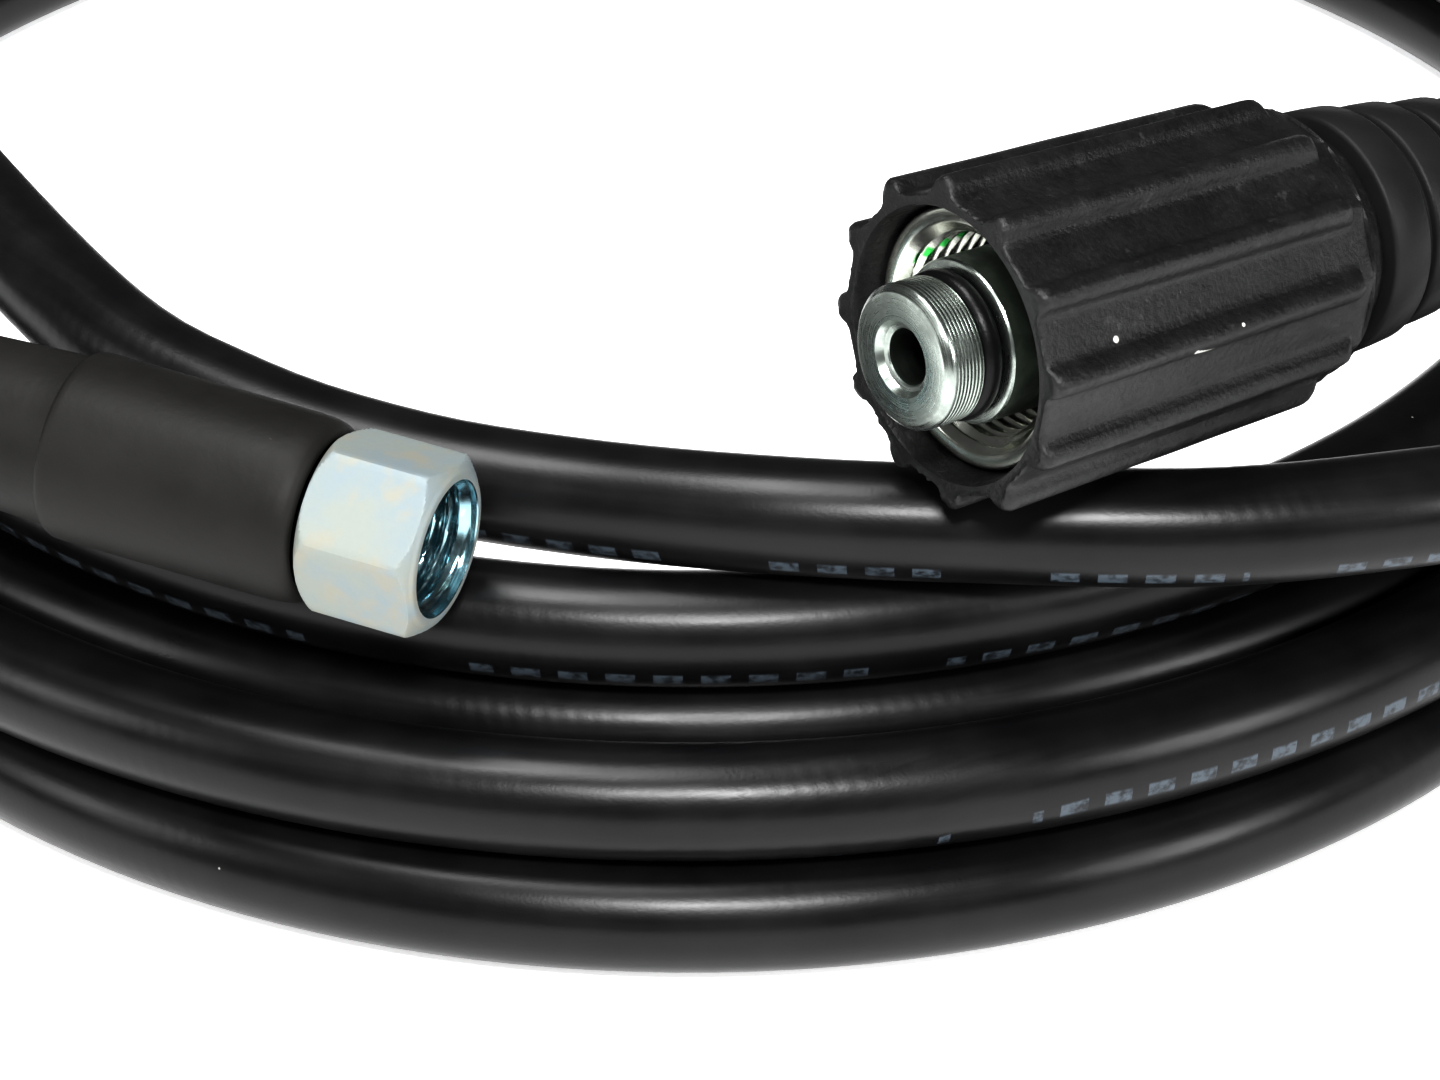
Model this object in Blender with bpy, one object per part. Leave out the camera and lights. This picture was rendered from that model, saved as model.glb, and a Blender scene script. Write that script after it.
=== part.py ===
"""Pressure washer hose: a coil of black hose with a ribbed hand nut and a hexagon nut at its ends.

Metres, +Z up. The coil lies on the floor at z = 0, and the middle of the whole box is over the origin.
The hose runs from the hand nut round the back and over the coil, down into its turns, and up to the
hexagon nut.
"""

import math

import bmesh
import bpy
from mathutils import Matrix, Vector

# The hose and its coil
HOSE_DIAMETER = 0.012
TURN_GAP = 0.0002
COIL_RADIUS = 0.1340
UPPER_TURN_LEAN = math.radians(103)
TOP_TURN_LEAN = math.radians(97)
TURN_SIDES = 12
TURN_NECK = math.radians(13)
COIL_STEPS = 48
TUBE_SPACING = 0.028
ROUTE_STEPS = 20

# Each end's nose, and the way that its hose leaves it. A nose and a route's points are places round the
# coil: how far out from COIL_RADIUS, the bearing in degrees from +X towards +Y, and the height.
HAND_NOSE = (-0.0083, -78.21, 0.0664)
HAND_AXIS = (0.7960, 0.5994, -0.0841)
HAND_ROLL = math.radians(4.8)
HEX_NOSE = (-0.0074, -100.44, 0.0439)
HEX_AXIS = (-0.9212, 0.3850, 0.0563)
HEX_ROLL = math.radians(-14.3)

# Clearances: between fixed pieces, and round the nuts that turn
SEAT_GAP = 0.0003
TURNING_GAP = 0.0004

# The ribbed cover and the threaded nut inside it
COVER_FRONT_RADIUS = 0.0170
COVER_REAR_RADIUS = 0.0160
COVER_LENGTH = 0.0440
RIB_COUNT = 12
RIB_HEIGHT = 0.0013
RIB_SHARE = 0.42
RIB_END_MARGIN = 0.0025
RIB_END_LENGTH = 0.0010
COVER_EDGE = 0.0008
NECK_RADIUS = 0.0115
NECK_LENGTH = 0.0040
NECK_TAPER = 0.0004
NUT_RECESS = 0.0030
NUT_RADIUS = 0.0132
NUT_LENGTH = 0.0220
NUT_THREAD_RADIUS = 0.0103
NUT_MOUTH_CHAMFER = 0.0011
NUT_EDGE = 0.0004
NUT_LIP = 0.0040
NUT_TO_HOSE = 0.0080

# The spigot that the hand nut pulls home, with its O-ring
SPIGOT_RADIUS = 0.0073
SPIGOT_PROUD = 0.0055
SPIGOT_NOSE = 0.0046
GROOVE_WIDTH = 0.0026
GROOVE_RADIUS = 0.0056
SPIGOT_SHANK_RADIUS = 0.0083
SPIGOT_FLANGE_RADIUS = 0.0096
SPIGOT_FLANGE = 0.0030
SPIGOT_FLANGE_SLOPE = 0.0010
SPIGOT_EDGE = 0.0007
SPIGOT_BORE_RADIUS = 0.0027
SPIGOT_MOUTH_RADIUS = 0.0034
SPIGOT_MOUTH_DEPTH = 0.0008
O_RING_THICKNESS = 0.0022

# The hexagon nut and the nipple inside it
HEX_FLATS = 0.0170
HEX_LENGTH = 0.0130
HEX_BORE_RADIUS = 0.0062
HEX_LIP = 0.0036
HEX_CHAMFER = 0.0011
HEX_FACE_EDGE = 0.0004
HEX_FACE_INSET = 0.0006
HEX_MOUTH_DEPTH = 0.0010
HEX_MOUTH_CHAMFER = 0.0009
HEX_TO_HOSE = 0.0060
NIPPLE_DEPTH = 0.0060
NIPPLE_RADIUS = 0.0055
NIPPLE_CONE = 0.0016
NIPPLE_NECK_RADIUS = 0.0042
NIPPLE_BORE_RADIUS = 0.0019
NIPPLE_MOUTH = 0.0005

# The crimped ferrules, and the rubber over them
FERRULE_WALL = 0.0015
FERRULE_LENGTH = 0.0240
FERRULE_SET_BACK = 0.0005
SLEEVE_RADIUS = 0.00975
SLEEVE_LENGTH = 0.0500
SLEEVE_FRONT_ROUND = 0.0010
SLEEVE_STEP_AT = 0.0280
SLEEVE_STEP = 0.0009
SLEEVE_STEP_ROUND = 0.0006
SLEEVE_TAPER = 0.0012
SLEEVE_TAIL_ROUND = 0.0010
BOOT_RADIUS = 0.0128
BOOT_LENGTH = 0.0340
BOOT_TAIL = 0.0030
BOOT_TAIL_WALL = 0.0016
BOOT_RINGS = 5
BOOT_GROOVE_WIDTH = 0.0014
BOOT_GROOVE_DEPTH = 0.0018
BOOT_RING_TAPER = 0.0004

TURNED_SIDES = 32
NUT_SIDES = 40
HEX_SIDES = 48
BOOT_SIDES = 24
O_RING_SIDES = 8
COVER_POINTS_PER_RIB = 8

# What fits over the hose and the ferrules, and where each piece starts behind its nose
HOSE_SEAT = HOSE_DIAMETER / 2 + SEAT_GAP
FERRULE_RADIUS = HOSE_SEAT + FERRULE_WALL
SLEEVE_INNER = FERRULE_RADIUS + SEAT_GAP
NUT_END = NUT_RECESS + NUT_LENGTH
HOSE_START = NUT_END + NUT_TO_HOSE
HEX_HOSE_START = HEX_LENGTH + HEX_TO_HOSE
BOOT_START = COVER_LENGTH + NECK_LENGTH + TURNING_GAP
SLEEVE_START = HEX_LENGTH + TURNING_GAP

# Places that the free stretches of hose pass, from each coupling on
HAND_ROUTE = [
    (-0.0039, -23.63, 0.0566), (0.0031, -15.29, 0.0532), (0.0075, -5.94, 0.0472),
    (0.0105, 4.76, 0.0416), (0.0120, 14.27, 0.0380), (0.0105, 24.53, 0.0346),
    (0.0059, 37.00, 0.0315), (-0.0006, 51.34, 0.0304), (-0.0030, 70.48, 0.0303),
    (-0.0027, 90.00, 0.0304), (-0.0004, 107.23, 0.0330), (0.0023, 121.26, 0.0375),
    (0.0050, 134.09, 0.0435), (0.0040, 145.59, 0.0495), (-0.0025, 155.67, 0.0535),
    (-0.0123, 165.07, 0.0548), (-0.0232, -180.00, 0.0530), (-0.0345, -158.00, 0.0502),
    (-0.0314, -128.21, 0.0446), (-0.0279, -115.78, 0.0422), (-0.0261, -105.10, 0.0407),
    (-0.0238, -95.08, 0.0406), (-0.0181, -85.08, 0.0421), (-0.0129, -75.72, 0.0423),
    (-0.0041, -65.38, 0.0424), (0.0032, -55.93, 0.0422), (0.0084, -48.13, 0.0403),
    (0.0175, -35.54, 0.0355), (0.0217, -24.35, 0.0285), (0.0234, -12.53, 0.0200),
    (0.0233, 0.75, 0.0120), (0.0229, 14.13, 0.0077), (0.0193, 27.34, 0.0063),
    (0.0158, 41.63, 0.0061), (0.0142, 57.87, 0.0061), (0.0135, 73.67, 0.0061),
    (0.0132, 90.00, 0.0061), (0.0132, 106.38, 0.0061), (0.0133, 123.33, 0.0061),
    (0.0132, 139.57, 0.0061), (0.0132, 156.36, 0.0061), (0.0132, 173.53, 0.0061),
    (0.0132, -173.53, 0.0061),
]
HEX_ROUTE = [
    (0.0057, -143.73, 0.0488), (0.0084, -153.41, 0.0481), (0.0069, -163.12, 0.0468),
    (0.0017, -172.16, 0.0454), (-0.0047, 178.61, 0.0438), (-0.0113, 164.19, 0.0424),
    (-0.0152, 148.69, 0.0425), (-0.0165, 132.62, 0.0425), (-0.0164, 116.45, 0.0425),
    (-0.0164, 100.26, 0.0425),
]

BLACK_HOSE = ((0.012, 0.012, 0.013), 0.32, 0.0)
BLACK_RUBBER = ((0.020, 0.020, 0.021), 0.62, 0.0)
BLACK_PLASTIC = ((0.016, 0.016, 0.017), 0.45, 0.0)
O_RING_RUBBER = ((0.008, 0.008, 0.008), 0.35, 0.0)
ZINC = ((0.78, 0.79, 0.76), 0.28, 1.0)
STEEL = ((0.52, 0.54, 0.52), 0.25, 1.0)


def material(name, look):
    """A Principled material of one colour, roughness and metallic value."""
    colour, roughness, metallic = look
    made = bpy.data.materials.new(name)
    made.use_nodes = True
    shader = made.node_tree.nodes["Principled BSDF"]
    shader.inputs["Base Color"].default_value = (*colour, 1.0)
    shader.inputs["Roughness"].default_value = roughness
    shader.inputs["Metallic"].default_value = metallic
    return made


def circle(radius, along, sides=TURNED_SIDES):
    """One ring of points round the local Z axis."""
    angles = [2 * math.pi * i / sides for i in range(sides)]
    return [(radius * math.cos(a), radius * math.sin(a), along) for a in angles]


def skin(name, rings, look, parent=None):
    """A closed solid whose surface joins each ring to the next, and the last to the first."""
    mesh = bmesh.new()
    loops = [[mesh.verts.new(point) for point in ring] for ring in rings]
    for low, high in zip(loops, loops[1:] + loops[:1]):
        for i in range(len(low)):
            j = (i + 1) % len(low)
            mesh.faces.new((low[i], low[j], high[j], high[i]))
    bmesh.ops.recalc_face_normals(mesh, faces=mesh.faces)
    data = bpy.data.meshes.new(name)
    mesh.to_mesh(data)
    mesh.free()
    data.shade_smooth()
    data.set_sharp_from_angle(angle=math.radians(30))
    data.materials.append(material(name, look))
    piece = bpy.data.objects.new(name, data)
    bpy.context.scene.collection.objects.link(piece)
    piece.parent = parent
    return piece


def turned(name, profile, look, parent=None, sides=TURNED_SIDES):
    """A turned solid: profile is a closed list of (radius, along) points."""
    return skin(name, [circle(radius, along, sides) for radius, along in profile], look, parent)


def holder(name, nose, axis, roll, parent):
    """An empty at a coupling's nose: local +Z back along its hose, local +Y upwards but for the roll."""
    back = Vector(axis).normalized()
    side = Vector((0.0, 0.0, 1.0)).cross(back).normalized()
    facing = Matrix((side, back.cross(side), back)).transposed()
    empty = bpy.data.objects.new(name, None)
    bpy.context.scene.collection.objects.link(empty)
    empty.location = nose
    empty.rotation_euler = (facing @ Matrix.Rotation(roll, 3, "Z")).to_euler()
    empty.parent = parent
    return empty


def leaning_on(below, pitch, lean):
    """The section point of a turn that lies one pitch from the turn below it, leaning inwards."""
    return (below[0] + pitch * math.cos(lean), below[1] + pitch * math.sin(lean))


def slot_centres():
    """Where the turns lie in the coil's section, in order round its outside: (radius, height)."""
    pitch = HOSE_DIAMETER + TURN_GAP
    floor = pitch / 2 * math.cos(math.pi / TURN_SIDES)
    outer = (COIL_RADIUS, floor)
    middle = (outer[0] - pitch, floor)
    upper_outer = leaning_on(outer, pitch, UPPER_TURN_LEAN)
    upper_inner = leaning_on(middle, pitch, UPPER_TURN_LEAN)
    top = leaning_on(upper_inner, pitch, TOP_TURN_LEAN)
    return [outer, upper_outer, upper_inner, top, upper_inner, middle]


def towards(start, end):
    """The angle from one section point to another."""
    return math.atan2(end[1] - start[1], end[0] - start[0])


def coil_profile():
    """The coil's section: an arc of each turn, from just past one neighbour to just before the next.

    The corners between keep to the same angles on every turn, so the lowest turns have a flat underside.
    """
    centres = slot_centres()
    radius = (HOSE_DIAMETER + TURN_GAP) / 2
    facet = 2 * math.pi / TURN_SIDES
    profile = []
    for i, centre in enumerate(centres):
        start = towards(centre, centres[i - 1]) + TURN_NECK
        end = towards(centre, centres[(i + 1) % len(centres)]) - TURN_NECK
        end = start + (end - start) % (2 * math.pi)
        first = math.ceil((start + facet / 4) / facet - 0.5)
        last = math.floor((end - facet / 4) / facet - 0.5)
        angles = [start, *((k + 0.5) * facet for k in range(first, last + 1)), end]
        for angle in angles:
            profile.append((centre[0] + radius * math.cos(angle), centre[1] + radius * math.sin(angle)))
    return profile


def curve_point(a, b, c, d, t):
    """The point at share t between b and c on the Catmull-Rom curve through a, b, c and d."""
    second = 2 * a - 5 * b + 4 * c - d
    third = 3 * b - a - 3 * c + d
    return 0.5 * (2 * b + (c - a) * t + second * t**2 + third * t**3)


def smooth_line(points, spacing):
    """Evenly spaced points on the smooth curve through the route's own points."""
    points = [Vector(p) for p in points]
    ends = [2 * points[0] - points[1], *points, 2 * points[-1] - points[-2]]
    fine = []
    for a, b, c, d in zip(ends, ends[1:], ends[2:], ends[3:]):
        fine += [curve_point(a, b, c, d, k / ROUTE_STEPS) for k in range(ROUTE_STEPS)]
    fine.append(points[-1])
    lengths = [0.0]
    for a, b in zip(fine, fine[1:]):
        lengths.append(lengths[-1] + (b - a).length)
    count = max(2, round(lengths[-1] / spacing))
    line = []
    at = 0
    for k in range(count + 1):
        target = lengths[-1] * k / count
        while at < len(fine) - 2 and lengths[at + 1] < target:
            at += 1
        share = (target - lengths[at]) / (lengths[at + 1] - lengths[at])
        line.append(fine[at].lerp(fine[at + 1], share))
    return line


def hose_tube(name, points, parent):
    """A free stretch of hose as a round tube with closed ends."""
    curve = bpy.data.curves.new(name, "CURVE")
    curve.dimensions = "3D"
    curve.bevel_depth = HOSE_DIAMETER / 2
    curve.bevel_resolution = 3
    curve.use_fill_caps = True
    line = smooth_line(points, TUBE_SPACING)
    spline = curve.splines.new("POLY")
    spline.points.add(len(line) - 1)
    for point, place in zip(spline.points, line):
        point.co = (*place, 1.0)
    curve.materials.append(material(name, BLACK_HOSE))
    tube = bpy.data.objects.new(name, curve)
    bpy.context.scene.collection.objects.link(tube)
    tube.parent = parent
    return tube


def by_the_coil(place):
    """The point of a place round the coil, given as (outward, bearing, height)."""
    outward, bearing, height = place
    radius = COIL_RADIUS + outward
    angle = math.radians(bearing)
    return Vector((radius * math.cos(angle), radius * math.sin(angle), height))


def along_axis(nose, axis, distance):
    """The point that lies a distance behind a coupling's nose."""
    return nose + Vector(axis).normalized() * distance


def straight_run(nose, axis, start, cover_end):
    """The hose's straight start: inside its coupling, and one diameter past the rubber over it."""
    places = (start, (start + cover_end) / 2, cover_end, cover_end + HOSE_DIAMETER)
    return [along_axis(nose, axis, place) for place in places]


def cover_ring(radius, along, height):
    """One ring of the ribbed cover: radius is over the ribs, height is how far they stand here."""
    count = RIB_COUNT * COVER_POINTS_PER_RIB
    ring = []
    for i in range(count):
        share = (i % COVER_POINTS_PER_RIB) / COVER_POINTS_PER_RIB
        off = abs(share - 0.5) * 2
        rise = max(0.0, 1 - (off / RIB_SHARE) ** 2) ** 0.5
        angle = 2 * math.pi * i / count
        here = radius - height * (1 - rise)
        ring.append((here * math.cos(angle), here * math.sin(angle), along))
    return ring


def ribbed_cover(parent):
    """The moulded hand cover: ribs outside, the nut's seat inside, and a plain neck behind."""
    rib_end = COVER_LENGTH - RIB_END_MARGIN
    rib_full = rib_end - RIB_END_LENGTH
    slope = (COVER_REAR_RADIUS - COVER_FRONT_RADIUS) / COVER_LENGTH
    body_rear = COVER_REAR_RADIUS - RIB_HEIGHT
    bore = NUT_RADIUS + SEAT_GAP
    rear_bore = SLEEVE_INNER + TURNING_GAP
    nut_end = NUT_END + SEAT_GAP
    neck_end = COVER_LENGTH + NECK_LENGTH
    sides = RIB_COUNT * COVER_POINTS_PER_RIB
    rings = [
        cover_ring(COVER_FRONT_RADIUS - COVER_EDGE, 0.0, RIB_HEIGHT * 0.7),
        cover_ring(COVER_FRONT_RADIUS, COVER_EDGE, RIB_HEIGHT),
        cover_ring(COVER_FRONT_RADIUS + slope * rib_full, rib_full, RIB_HEIGHT),
        cover_ring(COVER_REAR_RADIUS - RIB_HEIGHT * 0.8, rib_end, RIB_HEIGHT * 0.15),
        circle(body_rear, COVER_LENGTH - COVER_EDGE, sides),
        circle(body_rear - COVER_EDGE, COVER_LENGTH, sides),
        circle(NECK_RADIUS + NECK_TAPER, COVER_LENGTH, sides),
        circle(NECK_RADIUS, neck_end, sides),
        circle(rear_bore, neck_end, sides),
        circle(rear_bore, nut_end, sides),
        circle(bore, nut_end, sides),
        circle(bore, COVER_EDGE, sides),
        circle(bore + COVER_EDGE, 0.0, sides),
    ]
    return skin("hand_nut_cover", rings, BLACK_PLASTIC, parent)


def hand_nut(parent):
    """The threaded nut that the cover is moulded round, with the lip that pulls on the spigot's flange."""
    lip_bore = SPIGOT_RADIUS + TURNING_GAP
    profile = [
        (NUT_THREAD_RADIUS + NUT_MOUTH_CHAMFER, NUT_RECESS),
        (NUT_RADIUS - NUT_EDGE, NUT_RECESS),
        (NUT_RADIUS, NUT_RECESS + NUT_EDGE),
        (NUT_RADIUS, NUT_END),
        (lip_bore, NUT_END),
        (lip_bore, NUT_END - NUT_LIP),
        (NUT_THREAD_RADIUS, NUT_END - NUT_LIP),
        (NUT_THREAD_RADIUS, NUT_RECESS + NUT_MOUTH_CHAMFER),
    ]
    return turned("hand_nut", profile, ZINC, parent, NUT_SIDES)


def spigot(parent):
    """The turned steel spigot: nose disc, O-ring groove, shank, flange and the bore for the water."""
    nose = -SPIGOT_PROUD
    disc_end = nose + SPIGOT_NOSE
    groove_end = disc_end + GROOVE_WIDTH
    flange_end = NUT_END - NUT_LIP - TURNING_GAP
    tail = HOSE_START - SEAT_GAP
    profile = [
        (SPIGOT_MOUTH_RADIUS, nose),
        (SPIGOT_RADIUS - SPIGOT_EDGE, nose),
        (SPIGOT_RADIUS, nose + SPIGOT_EDGE),
        (SPIGOT_RADIUS, disc_end),
        (GROOVE_RADIUS, disc_end),
        (GROOVE_RADIUS, groove_end),
        (SPIGOT_SHANK_RADIUS, groove_end),
        (SPIGOT_SHANK_RADIUS, flange_end - SPIGOT_FLANGE - SPIGOT_FLANGE_SLOPE),
        (SPIGOT_FLANGE_RADIUS, flange_end - SPIGOT_FLANGE),
        (SPIGOT_FLANGE_RADIUS, flange_end),
        (SPIGOT_RADIUS, flange_end),
        (SPIGOT_RADIUS, tail),
        (SPIGOT_BORE_RADIUS, tail),
        (SPIGOT_BORE_RADIUS, nose + SPIGOT_MOUTH_DEPTH),
    ]
    return turned("spigot", profile, STEEL, parent)


def o_ring(parent):
    """The rubber ring in the spigot's groove."""
    thick = O_RING_THICKNESS / 2
    middle = GROOVE_RADIUS + SEAT_GAP + thick
    along = -SPIGOT_PROUD + SPIGOT_NOSE + GROOVE_WIDTH / 2
    angles = [2 * math.pi * i / O_RING_SIDES for i in range(O_RING_SIDES)]
    profile = [(middle + thick * math.cos(a), along + thick * math.sin(a)) for a in angles]
    return turned("o_ring", profile, O_RING_RUBBER, parent)


def ferrule(name, start, parent):
    """A crimped steel ferrule round the end of the hose."""
    end = start + FERRULE_LENGTH
    profile = [(HOSE_SEAT, start), (FERRULE_RADIUS, start), (FERRULE_RADIUS, end), (HOSE_SEAT, end)]
    return turned(name, profile, STEEL, parent)


def bend_protector(parent):
    """The stepped rubber bend protector behind the hand nut."""
    tail_radius = HOSE_SEAT + BOOT_TAIL_WALL
    ferrule_end = HOSE_START + FERRULE_SET_BACK + FERRULE_LENGTH + SEAT_GAP
    ring_pitch = BOOT_LENGTH / BOOT_RINGS
    rings_end = BOOT_START + BOOT_LENGTH
    profile = [(SLEEVE_INNER, BOOT_START)]
    for k in range(BOOT_RINGS):
        radius = BOOT_RADIUS + (tail_radius - BOOT_RADIUS) * k / BOOT_RINGS
        ring_start = BOOT_START + k * ring_pitch
        ring_end = ring_start + ring_pitch
        profile += [
            (radius, ring_start),
            (radius - BOOT_RING_TAPER, ring_end - BOOT_GROOVE_WIDTH),
            (radius - BOOT_GROOVE_DEPTH, ring_end - BOOT_GROOVE_WIDTH * 0.85),
            (radius - BOOT_GROOVE_DEPTH, ring_end),
        ]
    profile += [
        (tail_radius, rings_end),
        (tail_radius - BOOT_RING_TAPER, rings_end + BOOT_TAIL),
        (HOSE_SEAT, rings_end + BOOT_TAIL),
        (HOSE_SEAT, ferrule_end),
        (SLEEVE_INNER, ferrule_end),
    ]
    return turned("bend_protector", profile, BLACK_RUBBER, parent, BOOT_SIDES)


def hex_ring(limit, along):
    """One ring of the hexagon nut: its flats, cut back to a round limit where it is chamfered."""
    ring = []
    for i in range(HEX_SIDES):
        angle = 2 * math.pi * i / HEX_SIDES
        across = (angle + math.pi / 6) % (math.pi / 3) - math.pi / 6
        radius = min(HEX_FLATS / 2 / math.cos(across), limit)
        ring.append((radius * math.cos(angle), radius * math.sin(angle), along))
    return ring


def hex_nut(parent):
    """The hexagon union nut: chamfered ends, a bore for its thread, a lip behind the nipple's flange."""
    corner = HEX_FLATS / 2 / math.cos(math.pi / 6)
    flat = HEX_FLATS / 2
    lip_bore = NIPPLE_NECK_RADIUS + TURNING_GAP
    lip_start = HEX_LENGTH - HEX_LIP
    rings = [
        circle(flat - HEX_FACE_INSET, 0.0, HEX_SIDES),
        hex_ring(flat, HEX_FACE_EDGE),
        hex_ring((flat + corner) / 2, HEX_FACE_EDGE + HEX_CHAMFER / 2),
        hex_ring(corner, HEX_FACE_EDGE + HEX_CHAMFER),
        hex_ring(corner, HEX_LENGTH - HEX_CHAMFER),
        hex_ring((flat + corner) / 2, HEX_LENGTH - HEX_CHAMFER / 2),
        hex_ring(flat, HEX_LENGTH),
        circle(lip_bore, HEX_LENGTH, HEX_SIDES),
        circle(lip_bore, lip_start, HEX_SIDES),
        circle(HEX_BORE_RADIUS, lip_start, HEX_SIDES),
        circle(HEX_BORE_RADIUS, HEX_MOUTH_DEPTH, HEX_SIDES),
        circle(HEX_BORE_RADIUS + HEX_MOUTH_CHAMFER, 0.0, HEX_SIDES),
    ]
    return skin("hex_nut", rings, ZINC, parent)


def nipple(parent):
    """The steel nipple that seals inside the hexagon nut."""
    flange_end = HEX_LENGTH - HEX_LIP - TURNING_GAP
    tail = HEX_HOSE_START - SEAT_GAP
    profile = [
        (NIPPLE_BORE_RADIUS + NIPPLE_MOUTH, NIPPLE_DEPTH),
        (NIPPLE_RADIUS - NIPPLE_CONE, NIPPLE_DEPTH),
        (NIPPLE_RADIUS, NIPPLE_DEPTH + NIPPLE_CONE),
        (NIPPLE_RADIUS, flange_end),
        (NIPPLE_NECK_RADIUS, flange_end),
        (NIPPLE_NECK_RADIUS, tail),
        (NIPPLE_BORE_RADIUS, tail),
        (NIPPLE_BORE_RADIUS, NIPPLE_DEPTH + NIPPLE_MOUTH),
    ]
    return turned("nipple", profile, STEEL, parent, BOOT_SIDES)


def rubber_sleeve(parent):
    """The plain rubber sleeve behind the hexagon nut, with one step down to its tail."""
    step = SLEEVE_START + SLEEVE_STEP_AT
    end = SLEEVE_START + SLEEVE_LENGTH
    step_radius = SLEEVE_RADIUS - SLEEVE_STEP
    tail_radius = step_radius - SLEEVE_TAPER
    ferrule_end = HEX_HOSE_START + FERRULE_SET_BACK + FERRULE_LENGTH + SEAT_GAP
    profile = [
        (SLEEVE_INNER, SLEEVE_START),
        (SLEEVE_RADIUS - SLEEVE_FRONT_ROUND, SLEEVE_START),
        (SLEEVE_RADIUS, SLEEVE_START + SLEEVE_FRONT_ROUND),
        (SLEEVE_RADIUS, step - SLEEVE_STEP_ROUND),
        (SLEEVE_RADIUS - SLEEVE_STEP_ROUND, step),
        (step_radius, step),
        (tail_radius, end - SLEEVE_TAIL_ROUND),
        (tail_radius - SLEEVE_TAIL_ROUND, end),
        (HOSE_SEAT, end),
        (HOSE_SEAT, ferrule_end),
        (SLEEVE_INNER, ferrule_end),
    ]
    return turned("rubber_sleeve", profile, BLACK_RUBBER, parent)


def stand_over_origin(root):
    """Moves the whole model: its box's middle over the origin, its lowest point on the floor."""
    bpy.context.view_layer.update()
    depsgraph = bpy.context.evaluated_depsgraph_get()
    corners = []
    for piece in bpy.context.scene.objects:
        if piece.type in {"MESH", "CURVE"}:
            final = piece.evaluated_get(depsgraph)
            mesh = final.to_mesh()
            corners += [final.matrix_world @ vertex.co for vertex in mesh.vertices]
            final.to_mesh_clear()
    low = [min(corner[i] for corner in corners) for i in range(3)]
    high = [max(corner[i] for corner in corners) for i in range(3)]
    root.location = (-(low[0] + high[0]) / 2, -(low[1] + high[1]) / 2, -low[2])


def hand_end(root):
    """The hand nut's end: the coupling's pieces, and the hose from it over and round the coil."""
    nose = by_the_coil(HAND_NOSE)
    straight = straight_run(nose, HAND_AXIS, HOSE_START, BOOT_START + BOOT_LENGTH + BOOT_TAIL)
    hose_tube("hose_hand_end", [*straight, *(by_the_coil(place) for place in HAND_ROUTE)], root)
    frame = holder("hand_end_frame", nose, HAND_AXIS, HAND_ROLL, root)
    ribbed_cover(frame)
    hand_nut(frame)
    spigot(frame)
    o_ring(frame)
    ferrule("hand_end_ferrule", HOSE_START + FERRULE_SET_BACK, frame)
    bend_protector(frame)


def hex_end(root):
    """The hexagon nut's end: the coupling's pieces, and the hose from it back to the top of the coil."""
    nose = by_the_coil(HEX_NOSE)
    straight = straight_run(nose, HEX_AXIS, HEX_HOSE_START, SLEEVE_START + SLEEVE_LENGTH)
    hose_tube("hose_hex_end", [*straight, *(by_the_coil(place) for place in HEX_ROUTE)], root)
    frame = holder("hex_end_frame", nose, HEX_AXIS, HEX_ROLL, root)
    hex_nut(frame)
    nipple(frame)
    ferrule("hex_end_ferrule", HEX_HOSE_START + FERRULE_SET_BACK, frame)
    rubber_sleeve(frame)


def main():
    for old in list(bpy.data.objects):
        bpy.data.objects.remove(old)
    root = bpy.data.objects.new("hose_frame", None)
    bpy.context.scene.collection.objects.link(root)
    turned("hose_coil", coil_profile(), BLACK_HOSE, root, COIL_STEPS)
    hand_end(root)
    hex_end(root)
    stand_over_origin(root)


main()
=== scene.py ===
"""Looks of the pressure washer hose: one wound hose with a ribbed hand nut and a hexagon nut on its ends.

Metres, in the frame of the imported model. Each coupling's pieces are made in its own frame: local +Z runs back
along the hose from the nose, and local +Y points upwards.
"""

import math

import bpy
from mathutils import Matrix, Vector, noise


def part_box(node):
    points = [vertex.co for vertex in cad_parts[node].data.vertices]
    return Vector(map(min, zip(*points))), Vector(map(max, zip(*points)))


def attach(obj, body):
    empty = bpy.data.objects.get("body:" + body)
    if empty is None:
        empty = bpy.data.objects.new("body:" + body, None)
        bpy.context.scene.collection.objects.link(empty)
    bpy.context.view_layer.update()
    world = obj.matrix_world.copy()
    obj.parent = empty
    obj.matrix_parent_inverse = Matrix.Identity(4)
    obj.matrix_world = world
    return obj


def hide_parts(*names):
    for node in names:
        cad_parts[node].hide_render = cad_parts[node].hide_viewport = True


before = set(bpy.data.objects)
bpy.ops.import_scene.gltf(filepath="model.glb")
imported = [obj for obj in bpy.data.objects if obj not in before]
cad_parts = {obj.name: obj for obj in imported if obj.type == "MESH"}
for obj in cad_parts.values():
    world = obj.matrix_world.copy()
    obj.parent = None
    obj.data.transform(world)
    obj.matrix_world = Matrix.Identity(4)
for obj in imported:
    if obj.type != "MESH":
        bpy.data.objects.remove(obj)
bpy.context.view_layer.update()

TAU = 2 * math.pi
MM = 0.001

# The coil's middle, and the sizes that the solids have too
COIL_LOW, COIL_HIGH = (Vector(corner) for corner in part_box("hose_coil"))
COIL_CENTRE = Vector(((COIL_LOW.x + COIL_HIGH.x) / 2, (COIL_LOW.y + COIL_HIGH.y) / 2, 0.0))
COIL_RADIUS = 0.1340
HOSE_RADIUS = 0.0060
HOSE_PITCH = 0.0122

HAND_NOSE = (-0.0083, -78.21, 0.0664)
HAND_AXIS = (0.7960, 0.5994, -0.0841)
HEX_NOSE = (-0.0074, -100.44, 0.0439)
HEX_AXIS = (-0.9212, 0.3850, 0.0563)
RIB_ROLL = math.radians(19.8)
HEX_ROLL = math.radians(15.7)

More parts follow.
